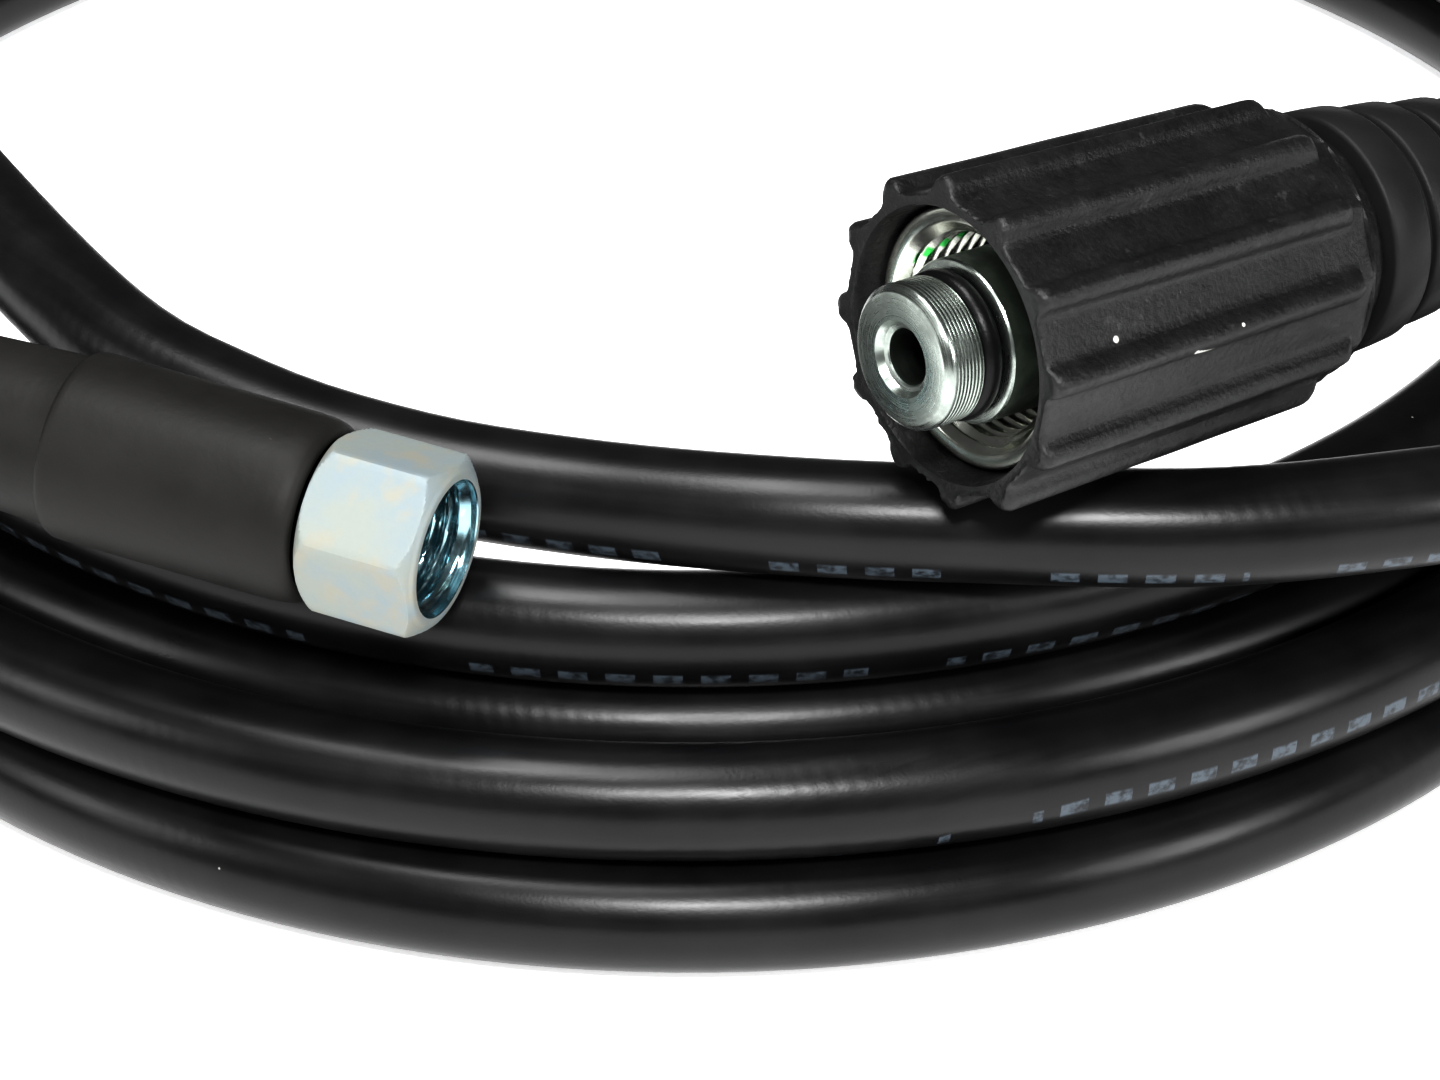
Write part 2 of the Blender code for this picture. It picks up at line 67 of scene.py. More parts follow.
# Places that the hose passes, from each coupling on: outward of COIL_RADIUS, bearing in degrees, height
HAND_ROUTE = [
    (-0.0039, -23.63, 0.0566), (0.0031, -15.29, 0.0532), (0.0075, -5.94, 0.0472),
    (0.0105, 4.76, 0.0416), (0.0120, 14.27, 0.0380), (0.0105, 24.53, 0.0346),
    (0.0059, 37.00, 0.0315), (-0.0006, 51.34, 0.0304), (-0.0030, 70.48, 0.0303),
    (-0.0027, 90.00, 0.0304), (-0.0004, 107.23, 0.0330), (0.0023, 121.26, 0.0375),
    (0.0050, 134.09, 0.0435), (0.0040, 145.59, 0.0495), (-0.0025, 155.67, 0.0535),
    (-0.0123, 165.07, 0.0548), (-0.0232, -180.00, 0.0530), (-0.0345, -158.00, 0.0502),
    (-0.0314, -128.21, 0.0446), (-0.0279, -115.78, 0.0422), (-0.0261, -105.10, 0.0407),
    (-0.0238, -95.08, 0.0406), (-0.0181, -85.08, 0.0421), (-0.0129, -75.72, 0.0423),
    (-0.0041, -65.38, 0.0424), (0.0032, -55.93, 0.0422), (0.0084, -48.13, 0.0403),
    (0.0175, -35.54, 0.0355), (0.0217, -24.35, 0.0285), (0.0234, -12.53, 0.0200),
    (0.0233, 0.75, 0.0120), (0.0229, 14.13, 0.0077), (0.0193, 27.34, 0.0063),
    (0.0158, 41.63, 0.0061), (0.0142, 57.87, 0.0061), (0.0135, 73.67, 0.0061),
    (0.0132, 90.00, 0.0061), (0.0132, 106.38, 0.0061), (0.0133, 123.33, 0.0061),
    (0.0132, 139.57, 0.0061), (0.0132, 156.36, 0.0061), (0.0132, 173.53, 0.0061),
    (0.0132, -173.53, 0.0061),
]
HEX_ROUTE = [
    (0.0057, -143.73, 0.0488), (0.0084, -153.41, 0.0481), (0.0069, -163.12, 0.0468),
    (0.0017, -172.16, 0.0454), (-0.0047, 178.61, 0.0438), (-0.0113, 164.19, 0.0424),
    (-0.0152, 148.69, 0.0425), (-0.0165, 132.62, 0.0425), (-0.0164, 116.45, 0.0425),
    (-0.0164, 100.26, 0.0425),
]

# Where the hose shows from under the rubber at each end, as distances behind the noses
HOSE_HIDDEN_START = 0.0600
BOOT_END = 0.0854
HEX_HIDDEN_START = 0.0400
SLEEVE_END = 0.0634

# How finely the hose is made: metres between its rings, its sides, curve steps from one route point to the
# next, and degrees between the coil's points
HOSE_STEP = 0.0040
HOSE_SIDES = 40
CURVE_STEPS = 12
COIL_STEP = 5.0

# The printed line's angle above the horizontal on the hose's outer side, in degrees: hidden below, and in view
PRINT_UNDER = -100
PRINT_FACING = -27


def smoothstep(low, high, value):
    """0 below low, 1 above high, and an S between."""
    share = min(1.0, max(0.0, (value - low) / (high - low)))
    return share * share * (3 - 2 * share)


def by_the_coil(place):
    """The point of a place round the coil, given as (outward, bearing, height)."""
    outward, bearing, height = place
    angle = math.radians(bearing)
    radius = COIL_RADIUS + outward
    return COIL_CENTRE + Vector((radius * math.cos(angle), radius * math.sin(angle), height))


def coupling_frame(nose, axis):
    """The matrix of a coupling's frame: +Z back along its hose, +Y up."""
    back = Vector(axis).normalized()
    side = Vector((0.0, 0.0, 1.0)).cross(back).normalized()
    matrix = Matrix((side, back.cross(side), back)).transposed().to_4x4()
    matrix.translation = by_the_coil(nose)
    return matrix


HAND = coupling_frame(HAND_NOSE, HAND_AXIS)
HEX = coupling_frame(HEX_NOSE, HEX_AXIS)


def camera():
    """The camera at the photograph's viewing angle: a long lens, 33 degrees down on the coil's front."""
    data = bpy.data.cameras.new("view")
    data.sensor_width = 36.0
    data.lens = 120.0
    data.clip_start = 0.01
    eye = bpy.data.objects.new("view", data)
    bpy.context.scene.collection.objects.link(eye)
    eye.location = COIL_CENTRE + Vector((0.0040, -0.5226, 0.3035))
    eye.rotation_euler = (math.radians(57), 0.0, 0.0)
    bpy.context.scene.camera = eye


camera()

# The hose's way through the coil

# The circles that the visible turns follow at the front, as (x, y, radius) beside the coil's middle
FRONT_CIRCLES = {
    "A": (0.0010, -0.0230, 0.1112),
    "B": (0.0005, -0.0106, 0.1208),
    "C": (0.0008, -0.0031, 0.1151),
    "D": (0.0014, -0.0144, 0.1036),
}
# The radius of each turn elsewhere, and its height
ROUND_RADIUS = {"A": 0.1340, "B": 0.13126, "C": 0.11906, "D": 0.11757}
HEIGHTS = {"A": 0.0060, "M": 0.0060, "B": 0.0180, "C": 0.0180, "D": 0.0300, "G": 0.0425}


def turn_place(turn, bearing):
    """Radius and height of a turn at a bearing: on its front circle in view, and concentric elsewhere."""
    if turn == "M":
        return turn_place("A", bearing)[0] - HOSE_PITCH, HEIGHTS[turn]
    if turn == "G":
        return turn_place("D", bearing)[0], HEIGHTS[turn]
    around = bearing % 360
    front = smoothstep(195, 225, around) * (1 - smoothstep(318, 345, around))
    x, y, radius = FRONT_CIRCLES[turn]
    angle = math.radians(bearing)
    across = x * math.sin(angle) - y * math.cos(angle)
    off_centre = x * math.cos(angle) + y * math.sin(angle) + math.sqrt(radius**2 - across**2)
    return ROUND_RADIUS[turn] * (1 - front) + off_centre * front, HEIGHTS[turn]


# The turns in order along the hose: the bearing at which each gives way to the next, over which turn it rolls
TAIL_RADIUS = 0.1472
COIL_START = 186.5
CHANGES = [
    ("A", "M", 538, 580, None), ("M", "C", 872, 910, None), ("C", "B", 1210, 1250, None),
    ("B", "D", 1545, 1585, "C"), ("D", "G", 1880, 1916, None),
]
COIL_END = 1916.5


def coil_place(bearing):
    """Radius and height of the hose at a bearing counted on through all its turns."""
    if bearing < 220:
        share = smoothstep(COIL_START, 220, bearing)
        radius, height = turn_place("A", bearing)
        return TAIL_RADIUS * (1 - share) + radius * share, height
    turn = "A"
    for before, after, start, end, over in CHANGES:
        if bearing <= start:
            break
        turn = after
        if bearing < end:
            share = smoothstep(start, end, bearing)
            r1, z1 = turn_place(before, bearing)
            r2, z2 = turn_place(after, bearing)
            if over is None:
                return r1 + (r2 - r1) * share, z1 + (z2 - z1) * share
            r0, z0 = turn_place(over, bearing)
            from_, to = math.atan2(z1 - z0, r1 - r0), math.atan2(z2 - z0, r2 - r0)
            reach = math.hypot(r1 - r0, z1 - z0) * (1 - share) + math.hypot(r2 - r0, z2 - z0) * share
            lean = from_ + (to - from_) * share
            return r0 + reach * math.cos(lean), z0 + reach * math.sin(lean)
    return turn_place(turn, bearing)


def smooth_line(points, spacing):
    """Evenly spaced points on a Catmull-Rom curve, and where each lies among the given points."""
    ends = [2 * points[0] - points[1], *points, 2 * points[-1] - points[-2]]
    fine, shares = [], []
    for i, (a, b, c, d) in enumerate(zip(ends, ends[1:], ends[2:], ends[3:])):
        for k in range(CURVE_STEPS):
            t = k / CURVE_STEPS
            second = 2 * a - 5 * b + 4 * c - d
            third = 3 * b - a - 3 * c + d
            fine.append(0.5 * (2 * b + (c - a) * t + second * t**2 + third * t**3))
            shares.append(i + t)
    fine.append(points[-1])
    shares.append(float(len(points) - 1))
    lengths = [0.0]
    for a, b in zip(fine, fine[1:]):
        lengths.append(lengths[-1] + (b - a).length)
    count = max(2, round(lengths[-1] / spacing))
    line, places, at = [], [], 0
    for k in range(count + 1):
        target = lengths[-1] * k / count
        while at < len(fine) - 2 and lengths[at + 1] < target:
            at += 1
        share = (target - lengths[at]) / (lengths[at + 1] - lengths[at])
        line.append(fine[at].lerp(fine[at + 1], share))
        places.append(shares[at] + (shares[at + 1] - shares[at]) * share)
    return line, places


def along(matrix, distance):
    """The point that lies a distance behind a coupling's nose."""
    return matrix @ Vector((0.0, 0.0, distance))


def hose_points():
    """The route's points from the hand nut to the hexagon nut, each with its printed line's angle."""
    points, print_angles = [], []
    straight = (HOSE_HIDDEN_START, (HOSE_HIDDEN_START + BOOT_END) / 2, BOOT_END, BOOT_END + 2 * HOSE_RADIUS)
    for distance in straight:
        points.append(along(HAND, distance))
        print_angles.append(PRINT_UNDER)
    for place in HAND_ROUTE:
        points.append(by_the_coil(place))
        in_front = -140 < place[1] < -40 and place[2] > 0.03
        print_angles.append(PRINT_FACING if in_front else PRINT_UNDER)
    bearing = COIL_START + 6
    while bearing < COIL_END:
        radius, height = coil_place(bearing)
        points.append(by_the_coil((radius - COIL_RADIUS, bearing, height)))
        print_angles.append(print_angle(bearing))
        bearing += COIL_STEP
    for place in reversed(HEX_ROUTE[:-1]):
        points.append(by_the_coil(place))
        print_angles.append(PRINT_UNDER)
    straight = (SLEEVE_END + 2 * HOSE_RADIUS, SLEEVE_END, (SLEEVE_END + HEX_HIDDEN_START) / 2,
                HEX_HIDDEN_START)
    for distance in straight:
        points.append(along(HEX, distance))
        print_angles.append(PRINT_UNDER)
    return points, print_angles


def print_angle(bearing):
    """How far up the hose's outer side the printed line lies on a turn, in degrees above the horizontal."""
    if 1256 < bearing < 1545:
        return -110 + 102 * smoothstep(1344, 1368, bearing)
    if 1585 < bearing < 1880:
        return PRINT_FACING - 80 * smoothstep(1728, 1765, bearing)
    return -112


def tube(name, line, angles):
    """The hose's surface. U is metres along its line, V is turns round it from the printed line."""
    verts, faces, uvs = [], [], []
    alongs = [0.0]
    for a, b in zip(line, line[1:]):
        alongs.append(alongs[-1] + (b - a).length)
    for i, middle in enumerate(line):
        ahead = (line[min(i + 1, len(line) - 1)] - line[max(i - 1, 0)]).normalized()
        out = ahead.cross(Vector((0.0, 0.0, 1.0))).normalized()
        up = out.cross(ahead)
        for k in range(HOSE_SIDES):
            angle = math.radians(angles[i]) + TAU * k / HOSE_SIDES
            verts.append(middle + HOSE_RADIUS * (out * math.cos(angle) + up * math.sin(angle)))
    for i in range(len(line) - 1):
        for k in range(HOSE_SIDES):
            j = (k + 1) % HOSE_SIDES
            low, high = i * HOSE_SIDES, (i + 1) * HOSE_SIDES
            faces.append((low + k, high + k, high + j, low + j))
            v1, v2 = k / HOSE_SIDES, (k + 1) / HOSE_SIDES
            uvs += [(alongs[i], v1), (alongs[i + 1], v1), (alongs[i + 1], v2), (alongs[i], v2)]
    for first, order in ((0, 1), ((len(line) - 1) * HOSE_SIDES, -1)):
        faces.append([first + k for k in range(HOSE_SIDES)][::order])
        uvs += [(0.0, 0.5)] * HOSE_SIDES
    mesh = bpy.data.meshes.new(name)
    mesh.from_pydata(verts, [], faces)
    layer = mesh.uv_layers.new(name="length_and_turn")
    for loop, uv in zip(layer.data, uvs):
        loop.uv = uv
    mesh.shade_smooth()
    made = bpy.data.objects.new(name, mesh)
    bpy.context.scene.collection.objects.link(made)
    return made


def wound_hose():
    """The whole hose as one cord."""
    points, print_angles = hose_points()
    line, places = smooth_line(points, HOSE_STEP)
    angles = []
    for place in places:
        low = min(int(place), len(print_angles) - 2)
        angles.append(print_angles[low] + (print_angles[low + 1] - print_angles[low]) * (place - low))
    made = tube("hose_run", line, angles)
    return made, line


HOSE, HOSE_LINE = wound_hose()


# Looks

def look(name, colour, roughness, metallic=0.0, specular=0.5):
    """A material with its node tree and shader."""
    made = bpy.data.materials.new(name)
    made.use_nodes = True
    shader = made.node_tree.nodes["Principled BSDF"]
    shader.inputs["Base Color"].default_value = (*colour, 1.0)
    shader.inputs["Roughness"].default_value = roughness
    shader.inputs["Metallic"].default_value = metallic
    shader.inputs["Specular IOR Level"].default_value = specular
    return made, made.node_tree, shader


def add(tree, kind, values=None, **settings):
    """A node with its settings, and values for its inputs: numbers, or sockets to link."""
    node = tree.nodes.new(kind)
    for key, value in settings.items():
        setattr(node, key, value)
    for key, value in (values or {}).items():
        if isinstance(value, bpy.types.NodeSocket):
            tree.links.new(value, node.inputs[key])
        else:
            node.inputs[key].default_value = value
    return node


def maths(tree, operation, *values):
    """The output of a Math node."""
    node = tree.nodes.new("ShaderNodeMath")
    node.operation = operation
    for i, value in enumerate(values):
        if isinstance(value, bpy.types.NodeSocket):
            tree.links.new(value, node.inputs[i])
        else:
            node.inputs[i].default_value = value
    return node.outputs[0]


def ranged(tree, value, low, high, to_low=0.0, to_high=1.0):
    """A value mapped from one range to another, and held inside it."""
    values = {"Value": value, "From Min": low, "From Max": high, "To Min": to_low, "To Max": to_high}
    return add(tree, "ShaderNodeMapRange", values).outputs["Result"]


def noise_of(tree, vector, scale, detail, roughness=0.55):
    """The value of a noise texture whose grain is 1/scale metres."""
    values = {"Vector": vector, "Scale": scale, "Detail": detail, "Roughness": roughness}
    return add(tree, "ShaderNodeTexNoise", values).outputs["Fac"]


def blend_colours(tree, share, first, second):
    """A mix of two colours, by a share."""
    node = tree.nodes.new("ShaderNodeMix")
    node.data_type = "RGBA"
    sockets = [s for s in node.inputs if s.type == "RGBA"]
    for socket, value in ((node.inputs[0], share), (sockets[0], first), (sockets[1], second)):
        if isinstance(value, bpy.types.NodeSocket):
            tree.links.new(value, socket)
        elif socket.type == "RGBA":
            socket.default_value = (*value, 1.0)
        else:
            socket.default_value = value
    return next(s for s in node.outputs if s.type == "RGBA")


def bump(tree, shader, height, distance, strength=1.0, under=None):
    """Bump by a height from 0 to 1 over a distance in metres, on top of another bump's normal."""
    values = {"Height": height, "Distance": distance, "Strength": strength}
    if under is not None:
        values["Normal"] = under
    normal = add(tree, "ShaderNodeBump", values).outputs["Normal"]
    tree.links.new(normal, shader.inputs["Normal"])
    return normal


def own_place(tree):
    """The piece's own coordinates, in metres."""
    return tree.nodes.new("ShaderNodeTexCoord").outputs["Object"]


# The printed dashes and the braid, in metres along the hose: a dash's pitch and inked share, the lengths that
# break the dashes into uneven groups, and the pitches of the braid's two ripples
DASH_PITCH = 0.0046
DASH_SHARE = 0.62
GROUP_LENGTHS = (0.0558, 0.0930)
BRAID_PITCHES = (0.0017, 0.0031)


def hose_look():
    """Satin black rubber over braid, with a worn broken line printed along it and a little dust."""
    made, tree, shader = look("hose_rubber", (0.0060, 0.0060, 0.0065), 0.32, specular=0.30)
    place = own_place(tree)
    uv = add(tree, "ShaderNodeUVMap", uv_map="length_and_turn").outputs["UV"]
    parts = add(tree, "ShaderNodeSeparateXYZ", {"Vector": uv})
    length, turn = parts.outputs["X"], parts.outputs["Y"]

    cloud = noise_of(tree, place, 90, 3)
    fine = noise_of(tree, place, 2600, 3)
    streak_place = add(tree, "ShaderNodeCombineXYZ", {"X": maths(tree, "MULTIPLY", length, 60.0),
                                                      "Y": maths(tree, "MULTIPLY", turn, 40.0)}).outputs[0]
    streak = noise_of(tree, streak_place, 1.0, 4)
    rough = maths(tree, "ADD", ranged(tree, cloud, 0.3, 0.7, 0.26, 0.32),
                  ranged(tree, streak, 0.3, 0.7, 0, 0.06))
    tree.links.new(rough, shader.inputs["Roughness"])

    # The dashes: short bars in uneven groups, worn through by the noise
    bar = maths(tree, "FRACT", maths(tree, "DIVIDE", length, DASH_PITCH))
    group = maths(tree, "FRACT", maths(tree, "DIVIDE", length, GROUP_LENGTHS[0]))
    second = maths(tree, "FRACT", maths(tree, "DIVIDE", length, GROUP_LENGTHS[1]))
    dash = maths(tree, "LESS_THAN", bar, DASH_SHARE)
    dash = maths(tree, "MULTIPLY", dash, maths(tree, "LESS_THAN", group, 0.86))
    dash = maths(tree, "MULTIPLY", dash, maths(tree, "GREATER_THAN", second, 0.10))
    round_it = maths(tree, "FRACT", maths(tree, "ADD", turn, 0.5))
    off = maths(tree, "ABSOLUTE", maths(tree, "SUBTRACT", round_it, 0.5))
    band = ranged(tree, off, 0.018, 0.026, 1, 0)
    worn = ranged(tree, noise_of(tree, place, 900, 3), 0.36, 0.56, 0.15, 1.0)
    ink = maths(tree, "MULTIPLY", maths(tree, "MULTIPLY", dash, band), worn)
    cells = add(tree, "ShaderNodeTexVoronoi", {"Vector": place, "Scale": 95.0}, feature="F1")
    dust = maths(tree, "LESS_THAN", cells.outputs["Distance"], 0.013)
    colour = blend_colours(tree, ranged(tree, cloud, 0.35, 0.65), (0.0042, 0.0042, 0.0048),
                           (0.0085, 0.0082, 0.0085))
    colour = blend_colours(tree, maths(tree, "MULTIPLY", ink, 0.42), colour, (0.15, 0.19, 0.23))
    colour = blend_colours(tree, maths(tree, "MULTIPLY", dust, 0.5), colour, (0.45, 0.45, 0.42))
    tree.links.new(colour, shader.inputs["Base Color"])

    # The braid under the rubber, as a faint diamond ripple
    one, two = (maths(tree, "DIVIDE", length, pitch) for pitch in BRAID_PITCHES)
    one = maths(tree, "ADD", one, maths(tree, "MULTIPLY", turn, 6.0))
    two = maths(tree, "SUBTRACT", two, maths(tree, "MULTIPLY", turn, 7.0))
    ripple = maths(tree, "ADD", maths(tree, "SINE", maths(tree, "MULTIPLY", one, TAU)),
                   maths(tree, "MULTIPLY", maths(tree, "SINE", maths(tree, "MULTIPLY", two, TAU)), 0.6))
    patchy = ranged(tree, noise_of(tree, place, 32, 2), 0.50, 0.66, 0.05, 1.0)
    first = bump(tree, shader, maths(tree, "MULTIPLY", ripple, patchy), 0.000005)
    bump(tree, shader, fine, 0.00003, 0.35, first)
    return made


# Lint on the cover, as (place in the coupling's frame, size): two specks, and a fibre as a row of dots
LINT = [((-0.01420, 0.00489, 0.0090), 0.00040), ((-0.01612, 0.00343, 0.0240), 0.00024)]
LINT += [((-0.01624 + 0.00012 * k, 0.00206 - 0.00010 * k, 0.0180 + 0.0005 * k), 0.00034) for k in range(7)]


def moulded_look():
    """Pebbled satin black moulding, with small lighter scuffs scattered over it."""
    made, tree, shader = look("cover_plastic", (0.0090, 0.0090, 0.0096), 0.38, specular=0.42)
    place = own_place(tree)
    pebble = noise_of(tree, place, 1500, 5, 0.62)
    coarse = noise_of(tree, place, 260, 3)
    cloud = noise_of(tree, place, 55, 3)
    colour = blend_colours(tree, ranged(tree, coarse, 0.35, 0.70), (0.0062, 0.0062, 0.0068),
                           (0.0125, 0.0125, 0.0130))
    scuff = ranged(tree, noise_of(tree, place, 420, 6, 0.7), 0.62, 0.70)
    colour = blend_colours(tree, maths(tree, "MULTIPLY", scuff, 0.22), colour, (0.12, 0.12, 0.12))
    for point, size in LINT:
        away = add(tree, "ShaderNodeVectorMath", {0: place, 1: point}, operation="DISTANCE").outputs["Value"]
        colour = blend_colours(tree, ranged(tree, away, size * 0.7, size, 1, 0), colour, (0.62, 0.62, 0.58))
    tree.links.new(colour, shader.inputs["Base Color"])
    rough = maths(tree, "ADD", ranged(tree, pebble, 0.3, 0.7, 0.30, 0.50),
                  ranged(tree, cloud, 0.3, 0.7, -0.05, 0.06))
    tree.links.new(rough, shader.inputs["Roughness"])
    first = bump(tree, shader, pebble, 0.00016, 0.85)
    bump(tree, shader, coarse, 0.00030, 0.5, first)
    return made


def rubber_look(name, colour, roughness, grain=900.0):
    """Matt moulded rubber with clouded sheen and dust."""
    made, tree, shader = look(name, colour, roughness, specular=0.24)
    place = own_place(tree)
    cloud = noise_of(tree, place, 70, 4)
    fine = noise_of(tree, place, grain, 4)
    light = tuple(c * 1.6 for c in colour)
    mixed = blend_colours(tree, ranged(tree, cloud, 0.35, 0.68), colour, light)
    dust = ranged(tree, noise_of(tree, place, 1900, 5, 0.7), 0.70, 0.76)
    mixed = blend_colours(tree, maths(tree, "MULTIPLY", dust, 0.30), mixed, (0.16, 0.15, 0.14))
    tree.links.new(mixed, shader.inputs["Base Color"])
    rough = ranged(tree, cloud, 0.3, 0.7, roughness - 0.06, roughness + 0.08)
    tree.links.new(rough, shader.inputs["Roughness"])
    bump(tree, shader, fine, 0.00006, 0.6)
    return made


def zinc_look(name, first, second, third, roughness, grain, metallic=1.0):
    """Zinc plate whose passivated film turns from one tint to another, hazier where it is less metallic."""
    made, tree, shader = look(name, first, roughness, metallic)
    place = own_place(tree)
    broad = noise_of(tree, place, 130, 3)
    other = noise_of(tree, place, 210, 3, 0.6)
    mixed = blend_colours(tree, ranged(tree, broad, 0.40, 0.62), first, second)
    mixed = blend_colours(tree, ranged(tree, other, 0.50, 0.66, 0.0, 0.8), mixed, third)
    speck = ranged(tree, noise_of(tree, place, 2300, 4, 0.7), 0.70, 0.78)
    mixed = blend_colours(tree, maths(tree, "MULTIPLY", speck, 0.22), mixed, (0.35, 0.33, 0.28))
    tree.links.new(mixed, shader.inputs["Base Color"])
    fine = noise_of(tree, place, 1700, 5, 0.65)
    rough = ranged(tree, fine, 0.3, 0.7, roughness - 0.03, roughness + 0.05)
    tree.links.new(rough, shader.inputs["Roughness"])
    bump(tree, shader, fine, grain, 0.8)
    return made


def marked_look():
    """The hand nut's zinc, with a band of green marking ink across its upper thread crests."""
    made = zinc_look("hand_nut_zinc", (0.62, 0.64, 0.58), (0.72, 0.73, 0.68), (0.54, 0.58, 0.50), 0.20,
                     0.000010)
    tree = made.node_tree
    shader = tree.nodes["Principled BSDF"]
    parts = add(tree, "ShaderNodeSeparateXYZ", {"Vector": own_place(tree)})
    x, y, back = (parts.outputs[axis] for axis in "XYZ")
    bearing = maths(tree, "ARCTAN2", y, x)
    slant = maths(tree, "ADD", maths(tree, "MULTIPLY", back, 70.0), 0.12)
    beside = maths(tree, "ABSOLUTE", maths(tree, "SUBTRACT", bearing, slant))
    reach = add(tree, "ShaderNodeCombineXYZ", {"X": x, "Y": y}).outputs[0]
    radius = add(tree, "ShaderNodeVectorMath", {0: reach}, operation="LENGTH").outputs["Value"]
    on_crest = ranged(tree, radius, 0.0107, 0.0109, 1, 0)
    ink = maths(tree, "MULTIPLY", ranged(tree, beside, 0.05, 0.09, 1, 0), on_crest)
    plain = shader.inputs["Base Color"].links[0].from_socket
    tree.links.new(blend_colours(tree, ink, plain, (0.05, 0.42, 0.09)), shader.inputs["Base Color"])
    return made


def turned_look(name, colour, roughness, ring_width=0.00022):
    """Turned steel: fine rings round the axis, on its faces and along its sides."""
    made, tree, shader = look(name, colour, roughness, 1.0)
    place = own_place(tree)
    parts = add(tree, "ShaderNodeSeparateXYZ", {"Vector": place})
    radius = add(tree, "ShaderNodeVectorMath", {0: add(tree, "ShaderNodeCombineXYZ", {
        "X": parts.outputs["X"], "Y": parts.outputs["Y"]}).outputs[0]}, operation="LENGTH").outputs["Value"]
    step = maths(tree, "ADD", radius, parts.outputs["Z"])
    cut = noise_of(tree, add(tree, "ShaderNodeCombineXYZ", {"X": step}).outputs[0], 1 / ring_width, 3, 0.6)
    mottle = noise_of(tree, place, 420, 5, 0.65)
    dark = tuple(c * 0.72 for c in colour)
    mixed = blend_colours(tree, ranged(tree, mottle, 0.42, 0.62), colour, dark)
    tree.links.new(mixed, shader.inputs["Base Color"])
    rough = maths(tree, "ADD", ranged(tree, cut, 0.3, 0.7, roughness - 0.08, roughness + 0.08),
                  ranged(tree, mottle, 0.4, 0.7, 0, 0.10))
    tree.links.new(rough, shader.inputs["Roughness"])
    first = bump(tree, shader, cut, 0.000012, 1.0)
    bump(tree, shader, mottle, 0.00003, 0.4, first)
    return made


HOSE_LOOK = hose_look()
COVER_LOOK = moulded_look()
SLEEVE_LOOK = rubber_look("sleeve_rubber", (0.0105, 0.0101, 0.0094), 0.54)
BOOT_LOOK = rubber_look("boot_rubber", (0.0095, 0.0095, 0.0099), 0.48, 1300.0)
O_RING_LOOK = rubber_look("o_ring_rubber", (0.0030, 0.0030, 0.0033), 0.34, 2500.0)
HEX_LOOK = zinc_look("hex_zinc", (0.25, 0.27, 0.25), (0.225, 0.265, 0.28), (0.28, 0.27, 0.225), 0.60,
                     0.000014, 0.25)
HEX_BORE_LOOK = zinc_look("hex_bore_zinc", (0.30, 0.46, 0.50), (0.22, 0.36, 0.42), (0.58, 0.68, 0.68), 0.18,
                          0.000010)
NUT_LOOK = marked_look()
SPIGOT_LOOK = turned_look("spigot_steel", (0.40, 0.44, 0.41), 0.25)
# Painted shade: a much darker copy of the turned steel, for the spigot's bore, shank and flange deep inside the
# hand nut
SHANK_SHADE_LOOK = turned_look("shank_steel_painted_shade", (0.090, 0.108, 0.092), 0.42, 0.0006)
FERRULE_LOOK = turned_look("ferrule_steel", (0.55, 0.57, 0.55), 0.35)


# The couplings' pieces

def piece(name, rings, matrix, looks, body, sharp, look_of=None):
    """A closed surface through rings of points in a coupling's frame, as a piece that rides on a body."""
    count = len(rings[0])
    verts = [point for ring in rings for point in ring]
    faces, slots = [], []
    for i in range(len(rings)):
        low, high = i * count, (i + 1) % len(rings) * count
        for k in range(count):
            j = (k + 1) % count
            faces.append((low + k, high + k, high + j, low + j))
            slots.append(look_of(i) if look_of else 0)
    mesh = bpy.data.meshes.new(name)
    mesh.from_pydata(verts, [], faces)
    for polygon, slot_index in zip(mesh.polygons, slots):
        polygon.material_index = slot_index
    mesh.shade_smooth()
    mesh.set_sharp_from_angle(angle=math.radians(sharp))
    for each in looks:
        mesh.materials.append(each)
    made = bpy.data.objects.new(name, mesh)
    bpy.context.scene.collection.objects.link(made)
    made.matrix_world = matrix
    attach(made, body)
    return made


def ring(radius, back, sides, roll=0.0):
    """A round ring of points."""
    angles = [roll + TAU * k / sides for k in range(sides)]
    return [(radius * math.cos(a), radius * math.sin(a), back) for a in angles]


def turned(profile, sides):
    """Rings of a turned piece, from (radius, back) points in millimetres."""
    return [ring(radius * MM, back * MM, sides) for radius, back in profile]


def rounded(profile, bevels):
    """The profile with the corners named in bevels rounded: {index: radius}, all in millimetres."""
    out, steps = [], 4
    count = len(profile)
    for i, corner in enumerate(profile):
        if i not in bevels:
            out.append(corner)
            continue
        here = Vector(corner)
        before, after = Vector(profile[i - 1]), Vector(profile[(i + 1) % count])
        start = here + (before - here).normalized() * bevels[i]
        end = here + (after - here).normalized() * bevels[i]
        for k in range(steps + 1):
            t = k / steps
            point = start * (1 - t) ** 2 + here * 2 * t * (1 - t) + end * t**2
            out.append((point.x, point.y))
    return out


# The hand cover, in millimetres: its length, the round ribs and how deep the flat panels lie between them
COVER_LENGTH = 44.0
RIBS = 12
COLUMNS = 32
PANEL_DEPTH = 1.85
RIB_HALF_WIDTH = 1.62
RIB_RISE = 1.34
RIB_FOOT = 0.22


def cover_radius(angle, back, radius, rise):
    """The cover's outer radius: flat panels between round ribs. Millimetres; radius is over the ribs."""
    off = (angle - RIB_ROLL + TAU / RIBS / 2) % (TAU / RIBS) - TAU / RIBS / 2
    beside = abs(off)
    panel = (radius - PANEL_DEPTH) / math.cos(TAU / RIBS / 2 - beside) * math.cos(math.radians(3))
    across = beside * radius / RIB_HALF_WIDTH
    foot = RIB_FOOT * math.exp(-((across - 1.0) / 0.30) ** 2) if across > 1.0 else RIB_FOOT
    crown = RIB_RISE * (1 - across**2.2) ** 0.55 if across < 1.0 else 0.0
    return panel + (foot + crown) * rise


